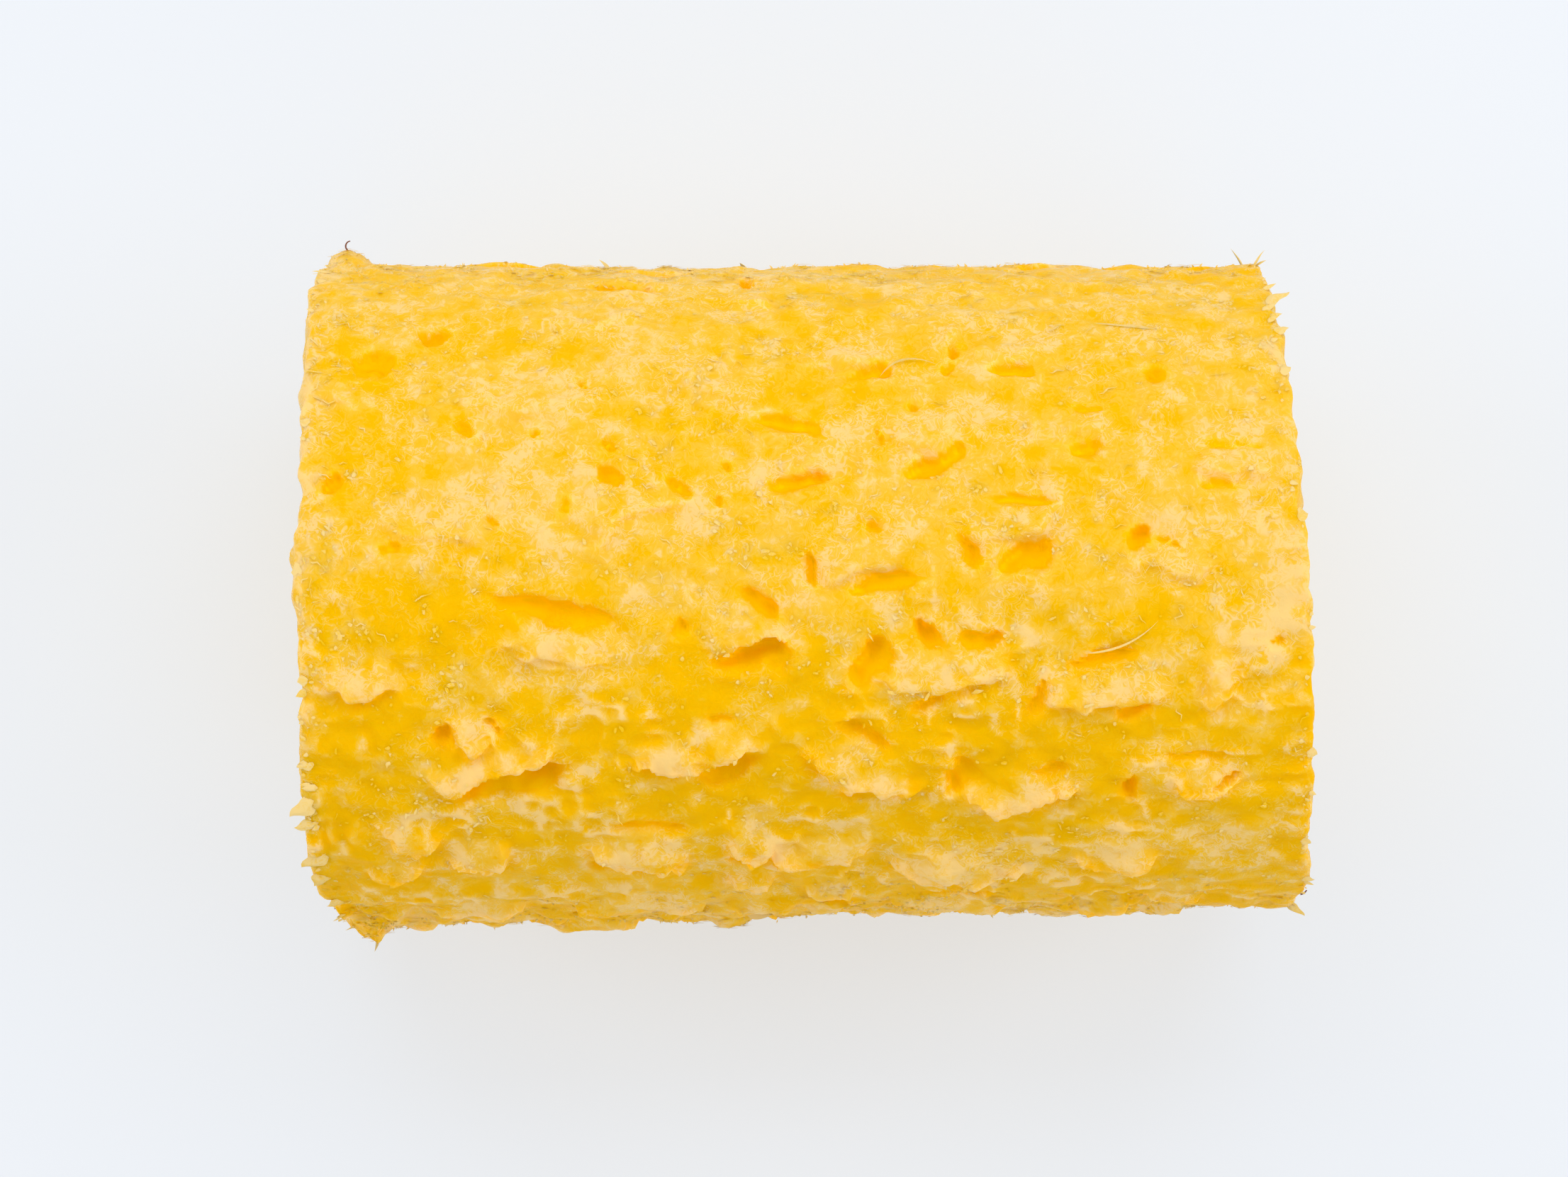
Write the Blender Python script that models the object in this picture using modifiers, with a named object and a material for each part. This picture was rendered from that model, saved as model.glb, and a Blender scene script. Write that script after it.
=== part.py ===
"""A peeled pineapple: one solid barrel of flesh, lying on its side along X.

The sleeve of a peeling machine has cut it round, and a knife has cut both ends square. The eyes of the
fruit stand out of the side as low lobes of firm flesh, and the seed chambers beside them are open slits.
"""

from math import pi

import bpy
import numpy as np

MM = 0.001

# The barrel, in millimetres. Lengths along it are counted from the left end.
LENGTH = 124.1
RADIUS = 41.7
TAPER = 0.6            # the radius is this much more at the left end and less at the right end
LEFT_LEAN = 0.068      # the left end leans back above the middle of the face
RIGHT_LEAN = 0.059     # the right end is cut askew: it reaches further on the -Y side
LEAN_ZONE = 14.0       # the flesh within this distance of an end follows its lean
FOOT_DEPTH = 1.0       # the soft underside is pressed flat this far
RIM_ROUND = 0.9        # the cut edges are rounded by this radius

# Uneven places on the rim of the left end: (turn from the top deg, spread deg, size mm).
FRONT_CHIP = (84, 18, 4.9)
BACK_CHIP = (-86, 12, 2.2)
TOP_BULGE = (-1, 9, 1.4)
FRONT_LIP = (93, 10, 2.7)
BACK_LIP = (-88, 13, 2.8)
FRONT_LIP_REACH = (4.5, 4.5)   # middle and half length along the barrel, mm
BACK_LIP_REACH = (3.0, 4.0)

# Mesh spacing before the flat stretches are thinned out.
SIDE_STEP = 0.95
TURN_STEPS = 250
END_RINGS = 9
KEPT_SHARE = 0.145
FLOOR_BOX = (0.4, 0.4, 0.1)    # metres

# How far the relief stands out or goes in.
LOBE_HEIGHT = 1.1
CHAMBER_DEPTH = 3.6
CHAMBER_SLOPE = 1.1    # depth of a chamber for each millimetre of its width
WOBBLE = 0.3
WOBBLE_CELL = 22.0
CRAGS = 0.22
CRAGS_CELL = 4.5
END_CRAGS = 0.5
END_CRAGS_CELL = 6.0

# Firm lobes of the eyes, row by row from the back of the fruit to the front:
# (distance from the left end mm, turn from the top deg, length mm, width mm, tilt deg)
LOBES = (
    (36.5, -54, 16, 6, -8), (68.5, -43, 11, 5, -5), (81, -49, 3.5, 3.5, 0), (89, -45, 12, 5.5, 0),
    (9, -35, 4.5, 4, 0), (28.5, -34, 15, 5.5, 5), (51, -38, 11, 9, 0), (78.5, -28, 11, 4.5, -5),
    (95.5, -29, 11, 4.5, 0), (19.5, -12, 15, 4, 5), (43, -14, 11, 3.5, -12), (38.5, -11, 4.5, 8, 0),
    (64.5, -22, 10, 4.5, -5), (89, -11, 10, 4.5, -10), (115, -21, 12, 4, 0),
    (70.5, -6, 12, 4.5, -10), (107.5, -4.5, 12, 4, -8),
    (9.5, 14, 8, 4, 5), (32.5, 8, 15, 4.5, 8), (55.5, 7, 12, 5, 0), (80.5, 13, 16, 5, 0),
    (99, 17, 13.5, 4, 0), (113.5, 16, 3, 9, 0),
    (22, 23, 3.5, 5.5, 20), (25.5, 29, 15, 4.5, -14), (49.5, 27.5, 12, 4.5, -10), (70, 31, 13, 5.5, 15),
    (89.5, 36.5, 13, 4.5, -12), (112, 33, 7, 3.5, 5),
    (15, 43.5, 7, 5, 10), (22.5, 49, 7.5, 5, -25), (13.5, 52, 5, 3.5, 0), (43, 49, 12.5, 6, 8),
    (57.5, 46, 4.5, 10, 0), (57, 59, 4.5, 4, 0), (66, 50, 9.5, 5, -12), (82, 54, 14.5, 7, 8),
    (102, 52, 10, 4.5, -5),
)

# Open seed chambers, in the same order and the same measures.
CHAMBERS = (
    (17.5, -49, 5, 3, 0), (10, -42, 6, 3.5, 10), (71.5, -40, 6.5, 2.3, -20), (81.5, -45, 2, 2, 0),
    (81, -41.5, 2.5, 1.6, -15), (88.5, -40, 8, 2, -6), (106.5, -40, 2.6, 2, 10),
    (21.5, -28.5, 4, 1.5, 45), (30.5, -28, 1.5, 1.3, 90), (36, -38, 3, 1.1, 50), (39, -25, 2.2, 1.6, 50),
    (61, -29, 11.5, 2.2, 6), (72.5, -27, 4, 1.2, 75), (76.5, -32, 2.4, 1.8, 0), (98, -32, 4.3, 1, 0),
    (5.5, -18.5, 3.5, 2.2, -30), (39.5, -19, 5.2, 2.4, 28), (47.5, -17.5, 4.8, 1.9, 35), (34, -14.5, 3, 1, 80),
    (26, -12.5, 3, 1, 30), (54, -21, 3, 1.2, 60), (53, -15, 2.6, 1.2, 55), (62.5, -18, 9.5, 2, -15),
    (79.5, -22, 9.5, 2.9, -22), (98, -24, 4.7, 2, -3), (115.5, -24.5, 9.5, 1, 0), (113.5, -17, 6.5, 1.2, -3),
    (14, -7, 3.4, 1.6, -25), (71.5, -10.5, 2.6, 1.3, 15), (83, -7, 5.5, 2.2, 70),
    (90, -14.5, 10.5, 1.6, 0), (90, -5.5, 9, 3.2, -35), (103.5, -8, 3.4, 3.1, 0), (107.5, -7, 5, 1, 3),
    (33, 3.5, 18, 3, 12), (48, 6.5, 2.6, 1.6, 85), (58, 2, 6.4, 2.5, 50), (64.5, -4, 4.7, 2, 80),
    (73, -1, 9.3, 2.1, -10), (78.5, 7, 3.8, 3.4, 0), (84.5, 8.5, 6.8, 2.6, 12),
    (57, 11.5, 10.5, 3.6, -8), (71.5, 12, 8.5, 3.3, -65), (78.5, 19, 5, 1.8, -30), (99, 12, 9.4, 2.3, -5),
    (92, 18.5, 7.2, 1.6, -75), (102.5, 21, 4.7, 1.5, -28), (120, 9.5, 3.4, 1, -20),
    (19, 24.5, 2.6, 2.8, 0), (25, 22.5, 3.4, 1, 45), (28.5, 33, 17, 3.5, -14), (53, 22.5, 5, 1.1, -8),
    (53.5, 31.5, 8.6, 2.8, -22), (70.5, 25.5, 9, 1.9, 25), (82.5, 34, 6.5, 3.1, -55), (93.5, 32.5, 5.6, 1.6, -5),
    (93.5, 38, 7, 1.5, -12), (111, 29.5, 9.4, 1.3, 3), (115, 34.5, 4.3, 1.5, -20),
    (103.5, 36.5, 1.8, 3.4, 0), (44, 43.5, 11, 1.4, 5), (40.5, 55, 10.5, 1.8, -5), (56, 52, 2.6, 2.8, 0),
)

# The table covers a third of the way round. The fruit's other two thirds carry the same eyes, set further
# round by this many degrees, with the one in the middle turned end for end.
REPEATS = ((0, 1), (122, -1), (239, 1))

FLESH_COLOUR = (0.96, 0.60, 0.075, 1.0)
FLESH_ROUGHNESS = 0.38


def smooth(share):
    """0 up to 0, 1 from 1 on, and an S curve between."""
    share = np.clip(share, 0, 1)
    return share * share * (3 - 2 * share)


def lattice_noise(points, cell, seed):
    """Smooth noise from -1 to 1: random values on a cubic lattice of this cell size, blended between."""
    place = points / cell
    corner = np.floor(place).astype(np.int64)
    blend = smooth(place - corner)
    total = np.zeros(len(points))
    for dx in (0, 1):
        for dy in (0, 1):
            for dz in (0, 1):
                at = corner + (dx, dy, dz)
                mixed = at[:, 0] * 73856093 ^ at[:, 1] * 19349663 ^ at[:, 2] * 83492791 ^ seed * 2654435761
                mixed = (mixed ^ mixed >> 13) * 1274126177
                value = (mixed >> 8 & 0xFFFF) / 32767.5 - 1
                weight = (
                    np.where(dx, blend[:, 0], 1 - blend[:, 0])
                    * np.where(dy, blend[:, 1], 1 - blend[:, 1])
                    * np.where(dz, blend[:, 2], 1 - blend[:, 2])
                )
                total += value * weight
    return total


def everywhere(features):
    """The shown features and their repeats round the rest of the barrel."""
    for extra_turn, way in REPEATS:
        for along, turn, length, width, tilt in features:
            yield (along if way > 0 else LENGTH - along), turn * way + extra_turn, length, width, tilt


def across(along, turn, feature):
    """Where each point lies on a feature: its shares of the half length and of the half width."""
    middle, middle_turn, length, width, tilt = feature
    ahead = along - middle
    aside = RADIUS * np.radians((turn - middle_turn + 180) % 360 - 180)
    lean = np.radians(tilt)
    u = (ahead * np.cos(lean) + aside * np.sin(lean)) / (length / 2)
    v = (aside * np.cos(lean) - ahead * np.sin(lean)) / (width / 2)
    return u, v


def relief(along, turn):
    """Height of the side above the plain barrel in mm: lobes stand out, and chambers go in."""
    height = np.zeros(len(along))
    for feature in everywhere(LOBES):
        u, v = across(along, turn, feature)
        out = np.sqrt(np.abs(u) ** 2.6 + np.abs(v) ** 2)
        height = np.maximum(height, LOBE_HEIGHT * smooth((1.45 - out) / 0.9))
    hollow = np.zeros(len(along))
    for feature in everywhere(CHAMBERS):
        u, v = across(along, turn, feature)
        mouth = np.clip(1 - u * u, 1e-4, 1) ** 0.6
        inside = np.where(np.abs(u) < 1, 1 - np.abs(v) / mouth, -1)
        depth = min(CHAMBER_DEPTH, 0.6 + CHAMBER_SLOPE * feature[3]) * mouth
        hollow = np.maximum(hollow, depth * smooth((inside + 0.35) / 0.95))
    return height * (1 - smooth(hollow / 0.8)) - hollow


def plain_barrel():
    """The round barrel before it is carved: a profile turned about X with a Screw modifier."""
    rim = RIM_ROUND * np.sin(np.linspace(0, pi / 2, 4))
    rim_in = RIM_ROUND * (1 - np.cos(np.linspace(0, pi / 2, 4)))
    end = [(0.0, radius) for radius in np.linspace(0, RADIUS - RIM_ROUND, END_RINGS)]
    corner = [(inward, RADIUS - RIM_ROUND + outward) for inward, outward in zip(rim_in[1:], rim[1:])]
    left = end + corner
    steps = round((LENGTH - 2 * RIM_ROUND) / SIDE_STEP)
    side = [(x, RADIUS) for x in np.linspace(RIM_ROUND, LENGTH - RIM_ROUND, steps + 1)[1:-1]]
    right = [(LENGTH - x, radius) for x, radius in reversed(left)]
    profile = [(x, radius, 0.0) for x, radius in left + side + right]
    mesh = bpy.data.meshes.new("barrel_profile")
    mesh.from_pydata(profile, [(i, i + 1) for i in range(len(profile) - 1)], [])
    turned = bpy.data.objects.new("barrel_profile", mesh)
    bpy.context.scene.collection.objects.link(turned)
    screw = turned.modifiers.new("Turn", "SCREW")
    screw.axis = "X"
    screw.steps = screw.render_steps = TURN_STEPS
    screw.use_merge_vertices = True
    screw.merge_threshold = 0.0001
    screw.use_normal_calculate = True
    bpy.context.view_layer.update()
    graph = bpy.context.evaluated_depsgraph_get()
    barrel = bpy.data.meshes.new_from_object(turned.evaluated_get(graph))
    bpy.data.objects.remove(turned)
    return barrel


def hump(turn, place):
    """A smooth hump round the barrel: full size at its own turn, and fading out over its spread."""
    middle, spread, size = place
    return size * np.exp(-(((turn - middle) / spread) ** 2))


def over(along, reach):
    """1 at the middle of a stretch along the barrel, falling to 0 at its ends."""
    middle, half = reach
    return smooth(1 - np.abs(along - middle) / half)


def carved(points):
    """Moves points of the plain barrel to where they lie on the real one."""
    along, y, z = points.T
    radius = np.hypot(y, z)
    turn = np.degrees(np.arctan2(-y, z))
    middle = (along / LENGTH - 0.5) * 2
    side_radius = RADIUS - TAPER * middle
    share = radius / RADIUS
    on_side = smooth((share - 0.86) / 0.12)
    on_end = smooth((np.abs(middle) - 0.93) / 0.07)
    near_left = smooth(1 - along / LEAN_ZONE)
    near_right = smooth(1 - (LENGTH - along) / LEAN_ZONE)
    lips = hump(turn, BACK_LIP) * over(along, BACK_LIP_REACH)
    lips += hump(turn, FRONT_LIP) * over(along, FRONT_LIP_REACH)
    near_rim = smooth((share - 0.66) / 0.34)
    rim = (hump(turn, FRONT_CHIP) + hump(turn, BACK_CHIP) - hump(turn, TOP_BULGE)) * near_rim
    along = along + near_left * (LEFT_LEAN * np.maximum(z, 0) + rim)
    along = along - near_right * RIGHT_LEAN * y
    along = along + END_CRAGS * lattice_noise(points, END_CRAGS_CELL, 3) * on_end
    wobble = WOBBLE * lattice_noise(points, WOBBLE_CELL, 1) + CRAGS * lattice_noise(points, CRAGS_CELL, 2)
    above_foot = 1 - smooth((np.abs(turn) - 155) / 10)
    out = radius * side_radius / RADIUS + on_side * (wobble + lips + relief(along, turn) * above_foot)
    y = -out * np.sin(np.radians(turn)) + RADIUS - side_radius
    z = out * np.cos(np.radians(turn)) + side_radius
    return np.column_stack((along, y, z))


def foot_cutter(name):
    """A box whose top is the level at which the underside is pressed flat."""
    bpy.ops.mesh.primitive_cube_add(size=1, location=(0, 0, -FLOOR_BOX[2] / 2))
    cutter = bpy.context.object
    cutter.name = name
    cutter.scale = FLOOR_BOX
    bpy.ops.object.transform_apply(location=False, rotation=False, scale=True)
    cutter.hide_render = True
    cutter.display_type = "WIRE"
    return cutter


def flesh_material():
    material = bpy.data.materials.new("pineapple_flesh")
    material.use_nodes = True
    shader = material.node_tree.nodes["Principled BSDF"]
    shader.inputs["Base Color"].default_value = FLESH_COLOUR
    shader.inputs["Roughness"].default_value = FLESH_ROUGHNESS
    shader.inputs["Metallic"].default_value = 0.0
    shader.inputs["Subsurface Weight"].default_value = 0.6
    shader.inputs["Subsurface Radius"].default_value = (0.004, 0.0025, 0.0005)
    return material


def peeled_pineapple():
    """The whole fruit: turned, carved, thinned out, and pressed flat underneath."""
    mesh = plain_barrel()
    points = np.empty(len(mesh.vertices) * 3)
    mesh.vertices.foreach_get("co", points)
    points = carved(points.reshape(-1, 3))
    low, high = points.min(axis=0), points.max(axis=0)
    points[:, :2] -= (low[:2] + high[:2]) / 2
    points[:, 2] -= FOOT_DEPTH
    mesh.vertices.foreach_set("co", (points * MM).ravel())
    mesh.update()
    mesh.shade_smooth()
    mesh.materials.clear()
    mesh.materials.append(flesh_material())

    parts = bpy.data.collections.new("peeled_pineapple")
    cutters = bpy.data.collections.new("cutters")
    for collection in (parts, cutters):
        bpy.context.scene.collection.children.link(collection)
    fruit = bpy.data.objects.new("pineapple_flesh", mesh)
    parts.objects.link(fruit)

    thin = fruit.modifiers.new("Thin out", "DECIMATE")
    thin.ratio = KEPT_SHARE
    cutter = foot_cutter("floor")
    for collection in cutter.users_collection:
        collection.objects.unlink(cutter)
    cutters.objects.link(cutter)
    press = fruit.modifiers.new("Press flat", "BOOLEAN")
    press.operation = "DIFFERENCE"
    press.object = cutter
    return fruit


def main():
    for obj in list(bpy.data.objects):
        bpy.data.objects.remove(obj)
    peeled_pineapple()


main()
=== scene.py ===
"""A peeled pineapple on its side: the barrel of flesh, and the torn sacs, fibres and shreds on it."""

import bpy
import numpy as np
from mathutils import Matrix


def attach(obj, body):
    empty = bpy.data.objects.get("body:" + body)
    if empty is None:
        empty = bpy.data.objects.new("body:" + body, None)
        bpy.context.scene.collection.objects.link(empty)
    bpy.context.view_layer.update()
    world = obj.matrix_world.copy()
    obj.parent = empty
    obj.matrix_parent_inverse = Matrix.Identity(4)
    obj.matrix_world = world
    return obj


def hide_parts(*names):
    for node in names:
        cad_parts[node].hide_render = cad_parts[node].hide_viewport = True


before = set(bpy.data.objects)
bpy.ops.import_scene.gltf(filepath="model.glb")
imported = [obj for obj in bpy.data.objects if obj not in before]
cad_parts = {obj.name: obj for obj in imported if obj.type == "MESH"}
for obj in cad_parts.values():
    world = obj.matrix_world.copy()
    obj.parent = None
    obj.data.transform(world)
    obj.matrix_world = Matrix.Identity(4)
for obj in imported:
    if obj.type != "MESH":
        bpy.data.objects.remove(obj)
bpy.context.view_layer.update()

# ------------------------------------------------------------------------------
# The barrel of flesh. It is one piece of ripe fruit, cut round by the sleeve of a peeling machine and
# square by a knife. Each eye of the fruit leaves a pale, firm, knobbly lobe and the open, smooth-walled
# seed chambers beside it, and the rest is torn juice sacs.
# ------------------------------------------------------------------------------

MM = 0.001

# Sizes in millimetres. Lengths along the barrel are counted from the left end.
LENGTH = 124.1
RADIUS = 41.7
TAPER = 0.6
LEFT_LEAN = 0.068
RIGHT_LEAN = 0.059
LEAN_ZONE = 14.0
FOOT_DEPTH = 1.0
RIM_ROUND = 0.9
MIDDLE_OF_BOX = (63.079, -0.479)

# Uneven places on the rim of the left end: (turn from the top deg, spread deg, size mm).
FRONT_CHIP = (84, 18, 4.9)
BACK_CHIP = (-86, 12, 2.2)
TOP_BULGE = (-1, 9, 1.4)
FRONT_LIP = (93, 10, 2.0)
BACK_LIP = (-88, 10, 1.9)
FRONT_LIP_REACH = (4.5, 4.5)
BACK_LIP_REACH = (2.2, 5.5)

# Layers of noise, each (height mm, cell mm, seed): the lumps of the whole skin, more lumps on the two long
# flanks, with the share of them that the back one has, and the roughness of the knife cuts.
LUMPS = ((0.3, 22.0, 1), (0.42, 4.5, 2), (0.4, 2.4, 15))
FLANK_LUMPS = ((0.75, 3.6, 44), (0.25, 1.6, 45))
BACK_FLANK = 0.4
END_CRAGS = ((0.5, 6.0, 3),)
KNIFE_ROUGH = ((0.45, 2.4, 4),)
KNIFE_SAC = 0.5
KNIFE_SAC_CELL = 1.9

# How far the outlines of lobes wander, ahead and aside, how much of that chambers, crests and tones take, and
# the cell of ragged edges.
WANDER_AHEAD = ((1.5, 4.2, 11), (0.5, 1.7, 12))
WANDER_ASIDE = ((1.2, 4.2, 13), (0.45, 1.7, 14))
CHAMBER_WANDER = 0.6
CREST_WANDER = 0.45
TONE_WANDER = 2.0
RAGGED_CELL = 1.3

# Fades, each from 0 at the first value to 1 at a spread beyond it: two by the share of the radius, two by
# the share of the half length, three by the turn from the top in degrees, and two by a chamber's depth in mm.
SIDE_FADE = (0.86, 0.12)
RIM_FADE = (0.66, 0.34)
END_FADE = (0.93, 0.07)
KNIFE_FADE = (0.97, 0.02)
FLANK_FADE = (60, 14)
FOOT_FADE = (155, 10)
BOLD_FADE = (-12, 45)
HOLLOW_FADE = (0.35, 0.7)
SUNK_FADE = (0, 0.8)

# The sleeve pressed the lobes flat between these turns on both sides, and this much at the back and front.
PRESSED_FROM = (54, 10)
PRESSED_TO = (90, 10)
BACK_PRESSED = 0.85
FRONT_PRESSED = 0.2

# Lobes: height and overhang in mm, and the edges of the rise and of the pale part in shares of the half size:
# (where it starts, how soft it is at the back, how soft at the front of a pressed and of a boldly cut lobe).
LOBE_HEIGHT = 1.25
LOBE_OVERHANG = 0.8
LOBE_RAGGED = 0.3
RISE_EDGE = (1.2, 1.0, (0.9, 0.25))
PALE_EDGE = (1.45, 1.1, (1.1, 0.6))
PRESSED_RISE = 0.65
RAMP_START = 0.3

# Chambers: least and most depth in mm, depth for each mm of width, how wedge-shaped and how ragged the mouth
# is, and the shares of the mouth that the wall at the back and the rising floor take.
LEAST_DEPTH = 0.4
CHAMBER_DEPTH = 2.7
CHAMBER_SLOPE = 0.48
CHAMBER_WEDGE = 0.55
CHAMBER_RAGGED = 0.35
CHAMBER_WALL = 0.24
CHAMBER_FLOOR = 0.75

# Firm lobes of the eyes, row by row from the back of the fruit to the front:
# (distance from the left end mm, turn from the top deg, length mm, width mm, tilt deg)
LOBES = (
    (36.5, -54, 16, 6, -8), (68.5, -43, 11, 5, -5), (81, -49, 3.5, 3.5, 0), (89, -45, 12, 5.5, 0),
    (9, -35, 4.5, 4, 0), (28.5, -34, 15, 5.5, 5), (51, -38, 11, 9, 0), (78.5, -28, 11, 4.5, -5),
    (95.5, -29, 11, 4.5, 0), (19.5, -12, 15, 4, 5), (43, -14, 11, 3.5, -12), (38.5, -11, 4.5, 8, 0),
    (64.5, -22, 10, 4.5, -5), (89, -11, 10, 4.5, -10), (115, -21, 12, 4, 0), (70.5, -6, 12, 4.5, -10),
    (107.5, -4.5, 12, 4, -8), (9.5, 14, 8, 4, 5), (32.5, 8, 15, 4.5, 8), (55.5, 7, 12, 5, 0),
    (80.5, 13, 16, 5, 0), (99, 17, 13.5, 4, 0), (113.5, 16, 3, 9, 0), (22, 23, 3.5, 5.5, 20),
    (25.5, 29, 15, 4.5, -14), (49.5, 27.5, 12, 4.5, -10), (70, 31, 13, 5.5, 15),
    (89.5, 36.5, 13, 4.5, -12), (112, 33, 7, 3.5, 5), (15, 43.5, 7, 5, 10), (22.5, 49, 7.5, 5, -25),
    (13.5, 52, 5, 3.5, 0), (43, 49, 12.5, 6, 8), (57.5, 46, 4.5, 10, 0), (57, 59, 4.5, 4, 0),
    (66, 50, 9.5, 5, -12), (82, 54, 14.5, 7, 8), (102, 52, 10, 4.5, -5),
)

# Open seed chambers, in the same order and the same measures.
CHAMBERS = (
    (17.5, -49, 5, 3, 0), (10, -42, 6, 3.5, 10), (71.5, -40, 6.5, 2.3, -20), (81.5, -45, 2, 2, 0),
    (81, -41.5, 2.5, 1.6, -15), (88.5, -40, 8, 2, -6), (106.5, -40, 2.6, 2, 10),
    (21.5, -28.5, 4, 1.5, 45), (30.5, -28, 1.5, 1.3, 90), (36, -38, 3, 1.1, 50), (39, -25, 2.2, 1.6, 50),
    (61, -29, 11.5, 2.2, 6), (72.5, -27, 4, 1.2, 75), (76.5, -32, 2.4, 1.8, 0), (98, -32, 4.3, 1, 0),
    (5.5, -18.5, 3.5, 2.2, -30), (39.5, -19, 5.2, 2.4, 28), (47.5, -17.5, 4.8, 1.9, 35),
    (34, -14.5, 3, 1, 80), (26, -12.5, 3, 1, 30), (54, -21, 3, 1.2, 60), (53, -15, 2.6, 1.2, 55),
    (62.5, -18, 9.5, 2, -15), (79.5, -22, 9.5, 2.9, -22), (98, -24, 4.7, 2, -3),
    (115.5, -24.5, 9.5, 1, 0), (113.5, -17, 6.5, 1.2, -3), (14, -7, 3.4, 1.6, -25),
    (71.5, -10.5, 2.6, 1.3, 15), (83, -7, 5.5, 2.2, 70), (90, -14.5, 10.5, 1.6, 0),
    (90, -5.5, 9, 3.2, -35), (103.5, -8, 3.4, 3.1, 0), (107.5, -7, 5, 1, 3), (33, 3.5, 18, 3, 12),
    (48, 6.5, 2.6, 1.6, 85), (58, 2, 6.4, 2.5, 50), (64.5, -4, 4.7, 2, 80), (73, -1, 9.3, 2.1, -10),
    (78.5, 7, 3.8, 3.4, 0), (84.5, 8.5, 6.8, 2.6, 12), (57, 11.5, 10.5, 3.6, -8),
    (71.5, 12, 8.5, 3.3, -65), (78.5, 19, 5, 1.8, -30), (99, 12, 9.4, 2.3, -5), (92, 18.5, 7.2, 1.6, -75),
    (102.5, 21, 4.7, 1.5, -28), (120, 9.5, 3.4, 1, -20), (19, 24.5, 2.6, 2.8, 0), (25, 22.5, 3.4, 1, 45),
    (28.5, 33, 17, 3.5, -14), (53, 22.5, 5, 1.1, -8), (53.5, 31.5, 8.6, 2.8, -22),
    (70.5, 25.5, 9, 1.9, 25), (82.5, 34, 6.5, 3.1, -55), (93.5, 32.5, 5.6, 1.6, -5),
    (93.5, 38, 7, 1.5, -12), (111, 29.5, 9.4, 1.3, 3), (115, 34.5, 4.3, 1.5, -20),
    (103.5, 36.5, 1.8, 3.4, 0), (44, 43.5, 11, 1.4, 5), (40.5, 55, 10.5, 1.8, -5), (56, 52, 2.6, 2.8, 0),
)

# The table covers a third of the way round. The fruit's other two thirds carry the same eyes, set further
# round by this many degrees, with the one in the middle turned end for end.
REPEATS = ((0, 1), (122, -1), (239, 1))

# Torn juice sacs: size of a sac and how far it stands out, on the plain flesh and on the firm lobes.
SAC_SIZE = 1.35
SAC_HEIGHT = 0.16
KNOB_SIZE = 1.7
KNOB_HEIGHT = 0.5
# Painted shade in the creases between knobs: it starts at this share of a knob's cell, full a spread beyond.
CREASE_SHADE_FADE = (0.45, 0.35)

# Torn crests: wandering ridges where the sleeve tore the sacs open, drawn out a third along the barrel. They
# are paler than the flesh between, partly as torn sacs are and partly as painted light on the ridges and
# painted shade between them, most of all where they crowd, and higher on the boldly cut front.
CREST_CELL = 2.0
CREST_SHARPNESS = 2.6
CREST_WHOLE = 0.8
CREST_BREAKS = ((0.8, 1.6, 61),)
CREST_STRETCH = (0.75, 1, 1)
CREST_HEIGHT = (0.24, 0.55)
CREST_LIGHT_AND_SHADE = 0.85
CREST_CROWDS = ((1.4, 6.5, 42), (1.0, 2.6, 43))

# The cut ends: the woody core and its paleness, the flesh round it, how far radial fibres change that, and
# the deeper eyes that the knife went through near the rim. Cells here are on a ring of radius one, not in mm.
CORE_RADIUS = 10.5
CORE_EDGE = 2.5
CORE_WANDER = ((0.5, 0.3, 53),)
CORE_TONE = 0.82
END_TONE = 0.38
END_STREAK = 0.2
END_STREAKS = ((1, 0.09, 51), (0.6, 0.035, 52))
STREAK_LENGTH = 60.0
END_EYES = ((2, 0.22, 54),)
END_EYES_FADE = (31, 6)
END_EYE_TONE = 0.15

# How pale the flesh is, from 0, deep gold, to 1, cream: the back of the fruit is paler than its front, and
# the change runs askew across the top from the one turn at the left end to the other at the right end.
BACK_TONE = 0.4
FRONT_TONE = 0.22
CHANGE_TURNS = (2, 17)
CHANGE_SPREAD = 16
CLOUD_STRETCH = (0.7, 1, 1)
CLOUD_TONE = ((0.18, 5.0, 46),)

# Pairs for the smooth back and the boldly cut front: mottles, crests with their painted light and shade, the
# lobes, and their own mottles.
MOTTLES = (0.22, 0.42)
MOTTLE_CELL = 1.8
CREST_LIGHT_SHARES = (0.3, 1)
LOBE_TONES = (0.63, 0.75)
LOBE_MOTTLES = (0.3, 0.6)
LOBE_GRAIN = ((0.4, 1.3, 18),)
# How much darker the creases between the knobs of a lobe are: painted shade.
KNOB_CREASE_SHADE = 0.2

# Painted light: a pale rim this wide at the left end, where light shines through its thin edge, but only
# where the flesh isn't pale already.
RIM_GLOW_WIDTH = 3.2
RIM_GLOW_BELOW = 0.6

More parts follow.
